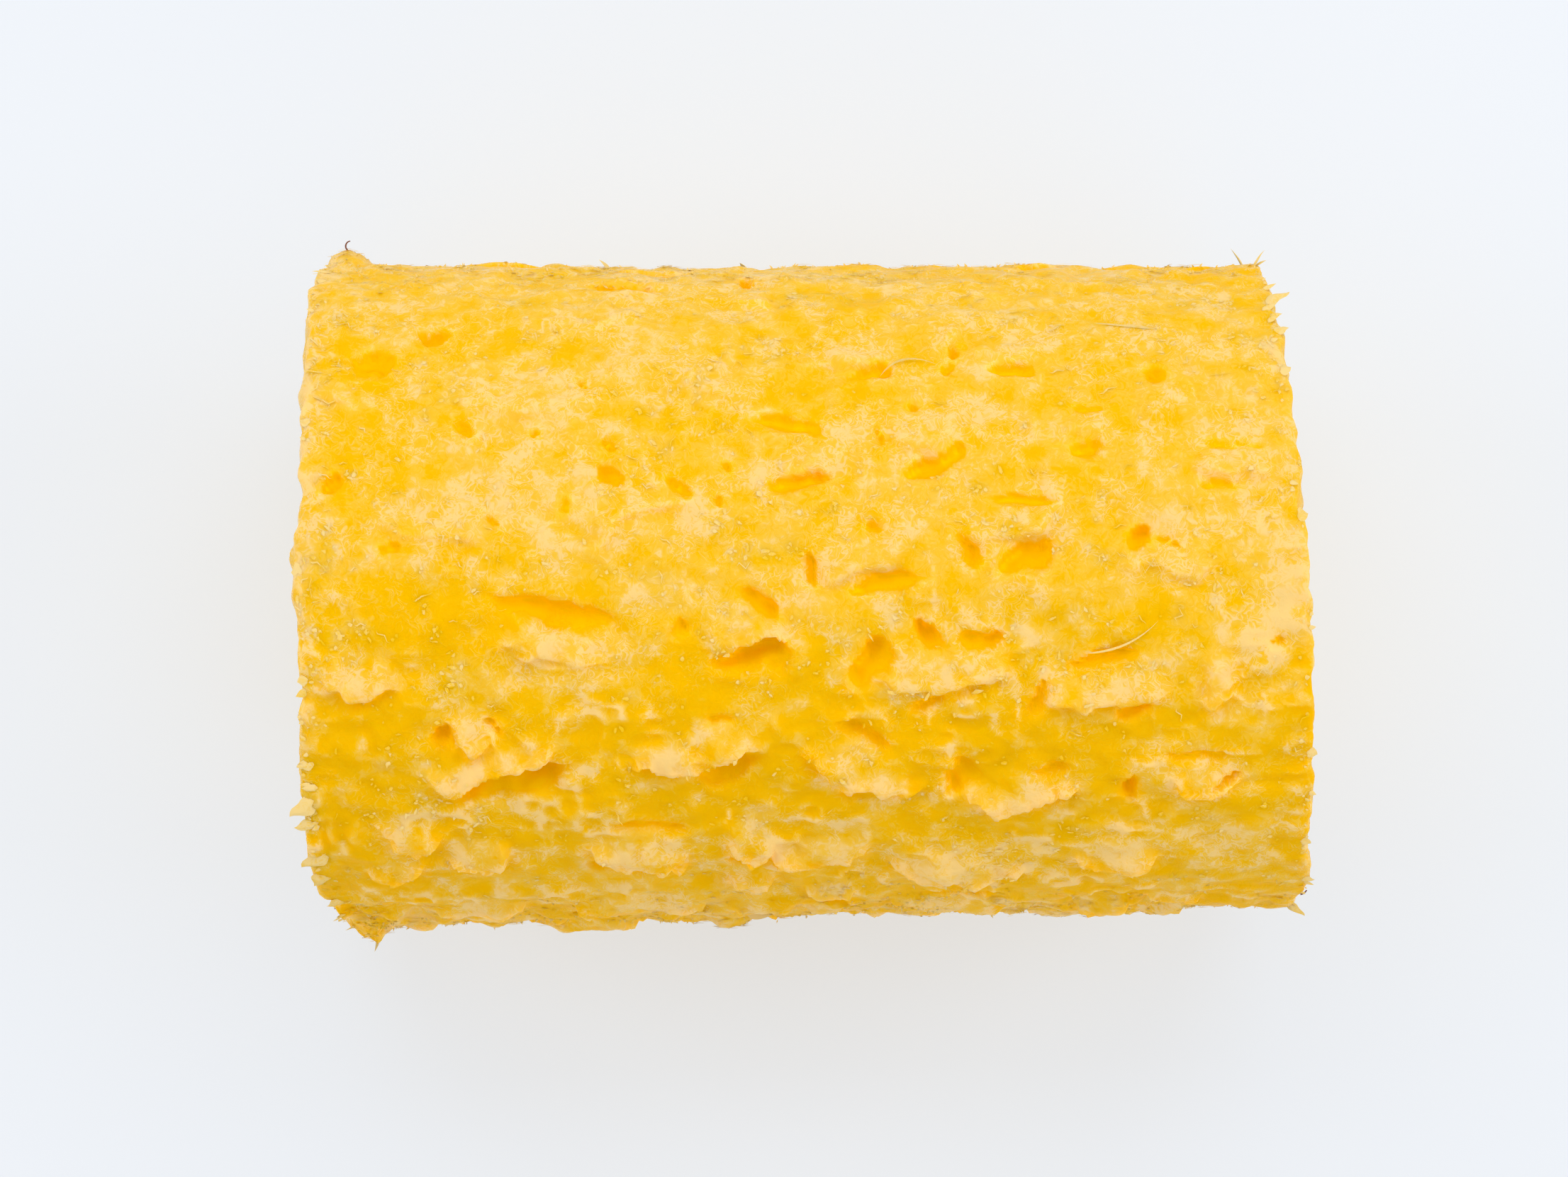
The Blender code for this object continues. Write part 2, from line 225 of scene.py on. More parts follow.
# Patches of paler (above 0) and deeper (below 0) flesh: the measures of a lobe, and the change in tone.
PATCHES = (
    (21, -47, 13, 6, -15, -0.42), (11, -40, 8, 6, 10, -0.4), (6, -20, 6, 5, 0, -0.25),
    (36, -17, 24, 16, 0, 0.06), (24, -10, 22, 11, 5, 0.08), (33, -36, 18, 8, 0, 0.1),
    (52, -37, 13, 10, 0, 0.1), (12, -28, 9, 12, 0, -0.12), (22, 4, 16, 8, 12, -0.3),
    (12, 24, 10, 14, 0, -0.2), (50, 16, 22, 6, 0, -0.16), (8, 40, 12, 20, 0, -0.15),
    (38, 11, 18, 9, 8, 0.22), (120, -8, 9, 14, 0, 0.18), (118, 12, 8, 16, 0, 0.12),
    (40, -62, 16, 9, 0, 0.1), (10, 14, 9, 5, 0, 0.12), (75, 23, 30, 7, 0, -0.12),
    (63, 38, 20, 5, 0, -0.1), (32, 42, 26, 5, -6, -0.15), (95, 26, 20, 7, 0, -0.08),
    (70, -8, 16, 7, 0, -0.1), (100, -48, 22, 9, 0, -0.08), (121, 2, 4, 9, 0, 0.16),
    (105, 56, 44, 26, 0, 0.12), (60, 60, 40, 16, 0, 0.08), (30, 62, 36, 12, 0, 0.1),
    (62, 84, 150, 22, 0, -0.14),
)

# Mesh spacing in mm: fine above, and each column a little wider than the last one down to the underside.
ALONG_STEP = 0.515
FINE_STEP = 0.515
FINE_TURN = 96.0
COARSE_GROWTH = 1.08
COARSE_COLUMNS = 31
END_RINGS = 24
RIM_RINGS = 3


def smooth(share):
    """0 up to 0, 1 from 1 on, and an S curve between: 3s squared minus 2s cubed."""
    share = np.clip(share, 0, 1)
    return share * share * (3 - 2 * share)


def drawn(corner, seed, more=0):
    """A random value from 0 to 1 for each lattice corner: its three whole numbers mixed by large primes."""
    x, y, z = corner[..., 0], corner[..., 1], corner[..., 2]
    mixed = x * 73856093 ^ y * 19349663 ^ z * 83492791 ^ (seed + 101 * more) * 2654435761
    mixed = (mixed ^ mixed >> 13) * 1274126177
    return (mixed >> 8 & 0xFFFF) / 65535


def lattice_noise(points, cell, seed):
    """Smooth noise from -1 to 1: random values on a cubic lattice of this cell size, blended between."""
    place = points / cell
    corner = np.floor(place).astype(np.int64)
    blend = smooth(place - corner)
    total = np.zeros(len(points))
    for step in np.ndindex(2, 2, 2):
        weight = np.prod(np.where(step, blend, 1 - blend), axis=1)
        total += (2 * drawn(corner + step, seed) - 1) * weight
    return total


def layered(points, layers):
    """Layers of smooth noise added up, each with its height, its cell and its seed."""
    return sum(height * lattice_noise(points, cell, seed) for height, cell, seed in layers)


def faded(value, fade):
    """0 up to the start of the fade, 1 from its spread beyond that on, and an S curve between."""
    start, spread = fade
    return smooth((value - start) / spread)


def between(low_high, share):
    """A value between two: the first at a share of 0 and the second at a share of 1."""
    low, high = low_high
    return low + (high - low) * share


def nearest_sac(points, cell, seed):
    """Distance in cells to the nearest of one jittered point for each lattice cell, and the point's value."""
    place = points / cell
    corner = np.floor(place).astype(np.int64)
    nearest = np.full(len(points), 9.0)
    value = np.zeros(len(points))
    for step in np.ndindex(3, 3, 3):
        at = corner + np.array(step) - 1
        jitter = np.stack([drawn(at, seed, axis) for axis in (1, 2, 3)], axis=1)
        gap = np.linalg.norm(at + jitter - place, axis=1)
        closer = gap < nearest
        nearest = np.where(closer, gap, nearest)
        value = np.where(closer, drawn(at, seed, 4), value)
    return nearest, value


def crests_at(points):
    """Ridges from 0 to 1: along the lines where smooth noise crosses zero, falling off to both sides, and
    lower or broken off where a second noise is low."""
    line = smooth(1 - CREST_SHARPNESS * np.abs(lattice_noise(points, CREST_CELL, 41)))
    return line * np.clip(CREST_WHOLE + layered(points, CREST_BREAKS), 0, 1)


def end_tone_at(radius, turn):
    """Paleness of the cut ends: a pale core with a soft edge, flesh streaked along its radial fibres, and
    deeper spots where eyes are cut through."""
    ways = np.column_stack((np.cos(np.radians(turn)), np.sin(np.radians(turn)), radius / STREAK_LENGTH))
    streak = layered(ways, END_STREAKS)
    core = smooth((CORE_RADIUS - radius) / CORE_EDGE + 0.5 + layered(ways, CORE_WANDER))
    eyes = faded(radius, END_EYES_FADE) * smooth(layered(ways, END_EYES))
    flesh = END_TONE + END_STREAK * streak - END_EYE_TONE * eyes
    return np.clip(flesh + (CORE_TONE - END_STREAK * np.abs(streak) - flesh) * core, 0, 1)


def everywhere(features):
    """The shown features and their repeats round the rest of the barrel, each with how boldly it is cut: the
    sleeve tore the rows at the front of the table open, and pressed those at its back smooth."""
    for extra_turn, way in REPEATS:
        for along, turn, length, width, tilt in features:
            bold = faded(turn, BOLD_FADE)
            yield (along if way > 0 else LENGTH - along, turn * way + extra_turn, length, width, tilt), bold


def across(along, turn, feature):
    """Where each point lies on a feature: its shares of the half length and of the half width."""
    middle, middle_turn, length, width, tilt = feature
    ahead = along - middle
    aside = RADIUS * np.radians((turn - middle_turn + 180) % 360 - 180)
    lean = np.radians(tilt)
    u = (ahead * np.cos(lean) + aside * np.sin(lean)) / (length / 2)
    v = (aside * np.cos(lean) - ahead * np.sin(lean)) / (width / 2)
    return u, v


def tone_at(along, turn):
    """Paleness of the flesh before the lobes: a change from back to front, and soft-edged patches."""
    change = between(CHANGE_TURNS, along / LENGTH)
    tone = between((BACK_TONE, FRONT_TONE), smooth((turn - change) / CHANGE_SPREAD + 0.5))
    for *feature, more in PATCHES:
        u, v = across(along, turn, feature)
        tone += more * np.exp(-(u**2 + v**2))
    return np.clip(tone, 0, 1)


def edge_of(out, v, edge, bold):
    """1 well inside an outline and 0 outside it, with one softness at the back and one at the front."""
    start, back, front = edge
    return smooth((start - out) / np.where(v > 0, between(front, bold), back))


def lobes_at(along, turn, ragged):
    """The lobes: how much of one each point is on, and its rise.

    The distance from the middle of a lobe is the root of its two shares, to the powers 2.4 and 2, added up.
    The rise is a ramp from the back to a sharp drop on the front side, and lower on the pressed lobes."""
    amount = np.zeros(len(along))
    rise = np.zeros(len(along))
    for feature, bold in everywhere(LOBES):
        u, v = across(along, turn, feature)
        out = np.sqrt(np.abs(u) ** 2.4 + np.abs(v) ** 2) - LOBE_RAGGED * ragged
        ramp = between((RAMP_START, 1), smooth((v + 1) / 1.5)) * between((PRESSED_RISE, 1), bold)
        amount = np.maximum(amount, edge_of(out, v, PALE_EDGE, bold))
        rise = np.maximum(rise, edge_of(out, v, RISE_EDGE, bold) * ramp)
    return amount, rise


def chambers_at(along, turn, ragged):
    """Depth of the seed chambers in mm.

    The half width of the mouth is 1.1 less the square of u, to the power 0.9, times 1.15, and wider to one
    end by a share that is a sine of its place. Across it, a steep wall at the back leads down to the full
    depth, and the floor rises gently to the front."""
    depth = np.zeros(len(along))
    for feature, _ in everywhere(CHAMBERS):
        u, v = across(along, turn, feature)
        wedge = CHAMBER_WEDGE * np.sin(7 * feature[0] + feature[1])
        mouth = 1.15 * np.clip(1.1 - u * u, 1e-4, 1) ** 0.9 * (1 + wedge * u)
        inside = (v / mouth + 1.15 + CHAMBER_RAGGED * ragged - 0.5 * wedge * u * u) / 2.6
        full = min(CHAMBER_DEPTH, LEAST_DEPTH + CHAMBER_SLOPE * feature[3]) * smooth((1.05 - np.abs(u)) / 0.6)
        across_it = smooth(inside / CHAMBER_WALL) * smooth((1 - inside) / CHAMBER_FLOOR)
        depth = np.maximum(depth, full * across_it)
    return depth


def hump(turn, place):
    """A smooth hump round the barrel: full size at its own turn, and fading out over its spread."""
    middle, spread, size = place
    return size * np.exp(-(((turn - middle) / spread) ** 2))


def over(along, reach):
    """1 at the middle of a stretch along the barrel, falling to 0 at its ends."""
    middle, half = reach
    return smooth(1 - np.abs(along - middle) / half)


def barrel_grid():
    """Rings and columns of the plain barrel: places along it, radii, and turns from the top in degrees."""
    arc = np.linspace(0, np.pi / 2, RIM_RINGS + 1)
    end_radii = np.linspace(0, RADIUS - RIM_ROUND, END_RINGS + 1)[1:]
    left_along = np.concatenate((np.zeros(END_RINGS), RIM_ROUND * (1 - np.cos(arc[1:]))))
    left_radii = np.concatenate((end_radii, RADIUS - RIM_ROUND + RIM_ROUND * np.sin(arc[1:])))
    steps = round((LENGTH - 2 * RIM_ROUND) / ALONG_STEP)
    side = np.linspace(RIM_ROUND, LENGTH - RIM_ROUND, steps + 1)[1:-1]
    along = np.concatenate((left_along, side, LENGTH - left_along[::-1]))
    radii = np.concatenate((left_radii, np.full(len(side), RADIUS), left_radii[::-1]))
    fine = round(np.radians(2 * FINE_TURN) * RADIUS / FINE_STEP)
    widths = COARSE_GROWTH ** np.arange(COARSE_COLUMNS)
    past = np.cumsum(widths) / (widths.sum() + widths[-1] / 2) * (180 - FINE_TURN)
    front = FINE_TURN + past
    turns = np.concatenate((np.linspace(-FINE_TURN, FINE_TURN, fine + 1), front, 360 - front[::-1]))
    return along, radii, (turns + 180) % 360 - 180


def closed_skin(rings, columns):
    """Quads between neighbouring rings and columns, and a fan of triangles at each end's middle point."""
    ring = np.arange(rings - 1)[:, None] * columns
    column = np.arange(columns)[None, :]
    beside = (column + 1) % columns
    on = ring + columns
    quads = np.stack((ring + column, ring + beside, on + beside, on + column), axis=-1)
    first, last = rings * columns, rings * columns + 1
    edge = np.arange(columns)
    last_ring = (rings - 1) * columns
    left = np.stack((np.full(columns, first), (edge + 1) % columns, edge), axis=-1)
    right = np.stack((np.full(columns, last), last_ring + edge, last_ring + (edge + 1) % columns), axis=-1)
    return quads.reshape(-1, 4), np.concatenate((left, right))


def cut_along(plain, share, turn, middle):
    """Places along the barrel after both knife cuts: each end leans, is chipped at its rim, and is rough."""
    along, y, z = plain.T
    near_left = smooth(1 - along / LEAN_ZONE)
    near_right = smooth(1 - (LENGTH - along) / LEAN_ZONE)
    chips = hump(turn, FRONT_CHIP) + hump(turn, BACK_CHIP) - hump(turn, TOP_BULGE)
    along = along + near_left * (LEFT_LEAN * np.maximum(z, 0) + chips * faded(share, RIM_FADE))
    along = along - near_right * RIGHT_LEAN * y
    along = along + layered(plain, END_CRAGS) * faded(np.abs(middle), END_FADE)
    sac, _ = nearest_sac(plain, KNIFE_SAC_CELL, 23)
    rough = layered(plain, KNIFE_ROUGH) + KNIFE_SAC * (0.5 - sac**2)
    return along + np.sign(middle) * rough * faded(np.abs(middle), KNIFE_FADE)


def pressed_at(turn):
    """How flat the sleeve pressed the lobes: more on the back flank than on the front one."""
    flat = faded(np.abs(turn), PRESSED_FROM) * (1 - faded(np.abs(turn), PRESSED_TO))
    return flat * np.where(turn < 0, BACK_PRESSED, FRONT_PRESSED)


def carved(plain):
    """Where points of the plain barrel lie on the real one, and how pale and how hollow it is there."""
    along, y, z = plain.T
    radius = np.hypot(y, z)
    turn = np.degrees(np.arctan2(-y, z))
    middle = (along / LENGTH - 0.5) * 2
    side_radius = RADIUS - TAPER * middle
    on_side = faded(radius / RADIUS, SIDE_FADE)
    above_foot = 1 - faded(np.abs(turn), FOOT_FADE)
    flank = faded(np.abs(turn), FLANK_FADE)
    bold = faded(turn, BOLD_FADE)
    lips = hump(turn, BACK_LIP) * over(along, BACK_LIP_REACH)
    lips += hump(turn, FRONT_LIP) * over(along, FRONT_LIP_REACH)
    along = cut_along(plain, radius / RADIUS, turn, middle)

    # Lobes and chambers. Their outlines wander as torn flesh does.
    ahead = layered(plain, WANDER_AHEAD)
    aside = layered(plain, WANDER_ASIDE)
    aside_turn = np.degrees(aside / RADIUS)
    ragged = lattice_noise(plain, RAGGED_CELL, 16)
    lobe, rise = lobes_at(along + ahead, turn + aside_turn, ragged)
    lobe = lobe * (1 - pressed_at(turn))
    rise = rise * (1 - pressed_at(turn))
    depth = chambers_at(along + CHAMBER_WANDER * ahead, turn + CHAMBER_WANDER * aside_turn, ragged)
    hollow = faded(depth, HOLLOW_FADE)

    # Sacs, knobs and torn crests, on the lumps of the whole skin.
    sac, sac_value = nearest_sac(plain, SAC_SIZE, 21)
    knob, _ = nearest_sac(plain, KNOB_SIZE, 22)
    knobs = KNOB_HEIGHT * (0.5 - knob**2) * lobe
    sacs = SAC_HEIGHT * (0.5 - sac**2) * (1 - 0.6 * lobe) * (0.4 + sac_value)
    lumps = layered(plain, LUMPS)
    lumps += flank * np.where(turn < 0, BACK_FLANK, 1) * layered(plain, FLANK_LUMPS)
    wander = CREST_WANDER * np.column_stack((ahead, aside, -aside))
    crest = crests_at((plain + wander) * CREST_STRETCH)
    crowd = smooth(layered(plain, CREST_CROWDS) + 0.35)
    torn = between(CREST_HEIGHT, bold) * crest * between((0.35, 1), crowd)
    fine = (knobs + sacs + torn) * (1 - hollow) * (1 - 0.2 * flank)

    # The skin with all of these on it, laid on the foot.
    standing = rise * (1 - faded(depth, SUNK_FADE)) * above_foot * on_side
    raised = LOBE_HEIGHT * standing - depth * above_foot
    out = radius * side_radius / RADIUS + on_side * (lumps + lips + fine * above_foot + raised)
    turn = turn + np.degrees(LOBE_OVERHANG * standing / RADIUS)
    y = -out * np.sin(np.radians(turn)) + RADIUS - side_radius
    z = out * np.cos(np.radians(turn)) + side_radius - FOOT_DEPTH
    points = np.column_stack((along - MIDDLE_OF_BOX[0], y - MIDDLE_OF_BOX[1], np.maximum(z, 0)))

    # Paleness: patches, clouds and mottles of the flesh, then crests with painted light and shade, lobes
    # with painted shade in their creases, and painted light shining through the thin rim at the left end.
    tone = tone_at(along + TONE_WANDER * ahead, turn + TONE_WANDER * aside_turn)
    tone += layered(plain * CLOUD_STRETCH, CLOUD_TONE)
    tone += between(MOTTLES, bold) * lattice_noise(plain, MOTTLE_CELL, 47)
    # Crests paler, flesh between deeper: partly torn sacs, partly painted light and shade of the relief.
    crest_light_and_shade = (crest - 0.3) * between((0.25, 1), crowd) * between(CREST_LIGHT_SHARES, bold)
    tone += CREST_LIGHT_AND_SHADE * crest_light_and_shade * (1 - hollow)
    patchy = 0.78 + between(LOBE_MOTTLES, bold) * lattice_noise(plain, 2.6, 17) + layered(plain, LOBE_GRAIN)
    # Lobes take their own tone, with painted shade in the creases between their knobs.
    crease_shade = faded(knob, CREASE_SHADE_FADE)
    tone += (between(LOBE_TONES, bold) - tone) * patchy * lobe - KNOB_CREASE_SHADE * lobe * crease_shade
    # Painted light: the thin rim at the left end, lit through, is paler.
    tone += (0.2 + 0.2 * ragged) * smooth(1 - plain[:, 0] / RIM_GLOW_WIDTH) * (tone < RIM_GLOW_BELOW)
    cut = end_tone_at(radius, turn)
    return points, cut + (np.clip(tone, 0, 1) - cut) * on_side, hollow * on_side


def barrel_mesh():
    """The closed skin of the barrel: every ring and column of the grid, carved, with its two values."""
    along, radii, turns = barrel_grid()
    rings, columns = len(along), len(turns)
    place = np.broadcast_to(along[:, None], (rings, columns)).ravel()
    y = (-radii[:, None] * np.sin(np.radians(turns))[None, :]).ravel()
    z = (radii[:, None] * np.cos(np.radians(turns))[None, :]).ravel()
    plain = np.column_stack((place, y, z))
    plain = np.vstack((plain, (0, 0, 0), (LENGTH, 0, 0)))
    points, pale, hollow = carved(plain)
    quads, fans = closed_skin(rings, columns)
    mesh = bpy.data.meshes.new("pineapple_barrel")
    mesh.from_pydata((points * MM).tolist(), [], quads.tolist() + fans.tolist())
    for name, values in (("pale", pale), ("hollow", hollow)):
        mesh.attributes.new(name, "FLOAT", "POINT").data.foreach_set("value", values.astype(np.float32))
    mesh.shade_smooth()
    return mesh


def linear(code):
    """An sRGB hex colour as the linear red, green, blue and alpha that a shader takes."""
    srgb = np.array([int(code[i:i + 2], 16) for i in (1, 3, 5)]) / 255
    values = np.where(srgb <= 0.04045, srgb / 12.92, ((srgb + 0.055) / 1.055) ** 2.4)
    return (*values.tolist(), 1.0)


def placed(name, data):
    """A new object in the scene."""
    made = bpy.data.objects.new(name, data)
    bpy.context.scene.collection.objects.link(made)
    return made


def feed(made, inputs):
    """Gives sockets of a node a plain value or a link."""
    for socket, source in inputs.items():
        if isinstance(source, bpy.types.NodeSocket):
            made.id_data.links.new(source, made.inputs[socket])
        else:
            made.inputs[socket].default_value = source


def node(tree, kind, inputs=None, **settings):
    """Adds a node: settings are its own properties, and inputs feed its sockets."""
    made = tree.nodes.new(kind)
    for name, value in settings.items():
        setattr(made, name, value)
    feed(made, inputs or {})
    return made


def maths(tree, operation, *values):
    """The result of a math node for these values."""
    return node(tree, "ShaderNodeMath", dict(enumerate(values)), operation=operation).outputs[0]


def finish(name, inputs):
    """A new material whose shader has these inputs."""
    material = bpy.data.materials.new(name)
    material.use_nodes = True
    feed(material.node_tree.nodes["Principled BSDF"], inputs)
    return material


# Patterns in the flesh, in repeats to the metre: clouds, the swirl that bends the rest, flecks, which are
# longer round the barrel, beads of juice, painted lighter in the middle and darker at the edge as painted
# highlight and shade, strings in two sizes, pale lines that are partly real strings and partly painted
# glints, and the crowds of those strings.
CLOUDS = 330.0
SWIRL = 600.0
SWIRL_BEND = (0.0026, 0.0026, 0.0026)
FLECKS = (1250.0, 1000.0, 1000.0)
BEADS = 750.0
STRINGS = (520.0, 800.0)
STRING_CROWDS = 170.0

# Curves of those patterns: (where it starts, where it ends, value up to the start, value from the end on).
FLECK_CURVE = (0.42, 0.64, -0.07, 0.1)
# Beads are lighter in the middle and darker at the edge: painted highlight and painted shade.
BEAD_HIGHLIGHT_CURVE = (0.2, 0.65, 0.05, -0.06)
STRING_CURVE = (0.005, 0.05, 1.0, 0.0)
CROWD_CURVE = (0.38, 0.6, 0.1, 1.0)
CLOUD_SHARE = 0.5
# The string net's pale lines are partly strings and partly painted glints.
STRING_AND_GLINT_TONE = 0.3
# The chambers lose this much paleness: a deeper gold, partly their own smooth flesh and partly painted shade.
HOLLOW_GOLD_AND_SHADE = -0.9

# Depths of the relief in metres, and how light enters and leaves the wet flesh.
BEAD_DEPTH = 0.0004
FLECK_DEPTH = 0.0003
STRING_DEPTH = 0.0002
ROUGHNESS = 0.22
GLOSS = 0.03
JUICE_IOR = 1.38
LIGHT_REACH = (1.0, 0.5, 0.1)
LIGHT_SCALE = 0.0028
SKIN_SHARE = 0.8


def curved(tree, value, curve):
    """A shader value laid on an S curve."""
    sockets = dict(zip(("From Min", "From Max", "To Min", "To Max"), curve))
    made = node(tree, "ShaderNodeMapRange", {"Value": value, **sockets}, interpolation_type="SMOOTHSTEP")
    return made.outputs[0]


def string_and_glint_net(tree, place, bent):
    """Strings and painted glints, 0 to 1: lines where noise in two sizes is at its middle, in crowds."""
    lines = []
    for scale in STRINGS:
        inputs = {"Vector": bent, "Scale": scale, "Detail": 1.0, "Distortion": 0.6}
        web = node(tree, "ShaderNodeTexNoise", inputs).outputs["Fac"]
        off_middle = maths(tree, "ABSOLUTE", maths(tree, "SUBTRACT", web, 0.5))
        lines.append(curved(tree, off_middle, STRING_CURVE))
    crowd = node(tree, "ShaderNodeTexNoise", {"Vector": place, "Scale": STRING_CROWDS, "Detail": 1.0})
    where = curved(tree, crowd.outputs["Fac"], CROWD_CURVE)
    return maths(tree, "MULTIPLY", maths(tree, "MAXIMUM", *lines), where)


def ripe_flesh(name, translucency, relief, tones):
    """Ripe pineapple flesh, torn and wet: translucent gold, paler and drier where the lobes are firm.

    The tone is the paleness of the mesh plus half of the clouds; the beads, lighter in the middle and darker
    at the edge as painted highlight and shade; 0.3 of the string net, pale lines partly strings, partly
    painted glints; and the flecks; less 0.9 of the hollow, a deeper gold in the chambers, partly their own
    and partly painted shade. A ramp turns it into colour."""
    material = finish(name, {})
    tree = material.node_tree
    shader = tree.nodes["Principled BSDF"]
    place = node(tree, "ShaderNodeTexCoord").outputs["Object"]
    pale = node(tree, "ShaderNodeAttribute", attribute_name="pale").outputs["Fac"]
    hollow = node(tree, "ShaderNodeAttribute", attribute_name="hollow").outputs["Fac"]

    # The patterns.
    inputs = {"Vector": place, "Scale": CLOUDS, "Detail": 3.0, "Roughness": 0.6}
    cloud = node(tree, "ShaderNodeTexNoise", inputs).outputs["Fac"]
    swirl = node(tree, "ShaderNodeTexNoise", {"Vector": place, "Scale": SWIRL, "Detail": 1.0})
    inputs = {0: swirl.outputs["Color"], 1: SWIRL_BEND, 2: place}
    bent = node(tree, "ShaderNodeVectorMath", inputs, operation="MULTIPLY_ADD").outputs[0]
    grain = node(tree, "ShaderNodeMapping", {"Vector": bent, "Scale": FLECKS}).outputs[0]
    inputs = {"Vector": grain, "Scale": 1.0, "Detail": 2.0, "Roughness": 0.55, "Distortion": 1.6}
    fleck = node(tree, "ShaderNodeTexNoise", inputs).outputs["Fac"]
    bead = node(tree, "ShaderNodeTexVoronoi", {"Vector": bent, "Scale": BEADS}).outputs["Distance"]
    net = string_and_glint_net(tree, place, bent)

    # The tone and its colour.
    tone = maths(tree, "MULTIPLY_ADD", cloud, CLOUD_SHARE, pale)
    tone = maths(tree, "ADD", tone, curved(tree, bead, BEAD_HIGHLIGHT_CURVE))
    tone = maths(tree, "MULTIPLY_ADD", net, STRING_AND_GLINT_TONE, tone)
    tone = maths(tree, "ADD", tone, curved(tree, fleck, FLECK_CURVE))
    tone = maths(tree, "MULTIPLY_ADD", hollow, HOLLOW_GOLD_AND_SHADE, tone)
    ramp = node(tree, "ShaderNodeValToRGB", {"Fac": tone})
    elements = ramp.color_ramp.elements
    while len(elements) < len(tones):
        elements.new(0.5)
    for element, (at, code) in zip(elements, tones):
        element.position = at
        element.color = linear(code)

    # The relief.
    normal = node(tree, "ShaderNodeBump", {"Height": bead, "Strength": relief, "Distance": BEAD_DEPTH},
                  invert=True).outputs[0]
    for height, depth in ((fleck, FLECK_DEPTH), (net, STRING_DEPTH)):
        inputs = {"Height": height, "Normal": normal, "Strength": relief, "Distance": depth}
        normal = node(tree, "ShaderNodeBump", inputs).outputs[0]

    # Gloss, and light that soaks through, a little more in the hollows.
    shader.subsurface_method = "BURLEY"
    soaked = {"Value": hollow, "To Min": SKIN_SHARE * translucency, "To Max": translucency}
    feed(shader, {
        "Base Color": ramp.outputs["Color"],
        "Normal": normal,
        "Roughness": ROUGHNESS,
        "IOR": JUICE_IOR,
        "Specular IOR Level": GLOSS,
        "Specular Tint": linear("#FFE484"),
        "Subsurface Weight": node(tree, "ShaderNodeMapRange", soaked).outputs[0],
        "Subsurface Radius": LIGHT_REACH,
        "Subsurface Scale": LIGHT_SCALE,
    })
    return material


barrel = placed("flesh_barrel", barrel_mesh())
# The first stop colours the chambers: a deep gold, partly their own and partly painted shade.
WHOLE_TONES = ((0.0, "#FFC600"), (0.15, "#FFBF00"), (0.44, "#FEC208"), (0.74, "#FDCA45"), (1.0, "#FFD785"))
barrel.data.materials.append(ripe_flesh("ripe_pineapple_flesh", 0.95, 0.15, WHOLE_TONES))
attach(barrel, "root")
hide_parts("pineapple_flesh")

# ------------------------------------------------------------------------------
# Torn juice sacs. They are small, thin shreds of the same flesh that the sleeve tore open, half sunk in the
# juice. They lie in crowds all over the round side, a little fewer on the pale, firm flesh.
# ------------------------------------------------------------------------------

SACS = 2600
SAC_LENGTHS = (0.6, 2.0)
SAC_WIDTHS = (0.4, 0.9)
SAC_THICKNESS = (0.05, 0.12)
SAC_CORNERS = 6
SAC_OFF = 0.02
COVERED_TURN = 150.0
CLUSTER_CELL = 2.4
CROWD_CELL = 7.0
OWN_SHADING = 0.25
LIT_FROM_ABOVE = 2.0

# How shreds lie: (lean from the round way to the along way deg, spread of that deg, how far out of the skin).
SAC_LAY = (45, 50, 0.12)

# Paleness of shreds: (a base, the share of the flesh's own, a random addition, its power, the palest).
SAC_PALE = (0.2, 0.6, 0.25, 1.5, 0.72)


def rim_place(along, turn):
    """Points of the plain barrel's side at these places along it and these turns from the top."""
    return np.column_stack((along, -RADIUS * np.sin(np.radians(turn)), RADIUS * np.cos(np.radians(turn))))


def scattered(draws, count, density):
    """Random places on the round side, kept or dropped by a density from 0 to 1, until there are enough.

    Gives the points of the skin there, its tones, and the turns from the top."""
    along = draws.uniform(0.6, LENGTH - 0.6, count * 8)
    turn = draws.uniform(-COVERED_TURN, COVERED_TURN, count * 8)
    plain = rim_place(along, turn)
    keep = draws.random(count * 8) < density(plain, along, turn)
    skin, tone, _ = carved(plain[keep][:count])
    return skin, tone, turn[keep][:count]


def barrel_ways(turn):
    """Unit vectors along the barrel, round it towards the front, and out of it."""
    turn = np.radians(turn)
    none = np.zeros(len(turn))
    along_way = np.column_stack((none + 1, none, none))
    round_way = np.column_stack((none, -np.cos(turn), -np.sin(turn)))
    out_way = np.column_stack((none, -np.sin(turn), np.cos(turn)))
    return along_way, round_way, out_way


def unit(ways):
    """Each row scaled to a length of one."""
    return ways / np.linalg.norm(ways, axis=1)[:, None]


def squared(out_way, way):
    """What is left of each way out when its share along the other way is taken off, as a unit vector."""
    return unit(out_way - way * np.sum(out_way * way, axis=1)[:, None])


def pale_at(draws, tone, values):
    """Paleness of shreds: the base, the share of the flesh's tone, and a random value to a power, added."""
    base, share, more, power, palest = values
    return np.clip(base + share * tone + more * draws.random(len(tone)) ** power, 0, palest)


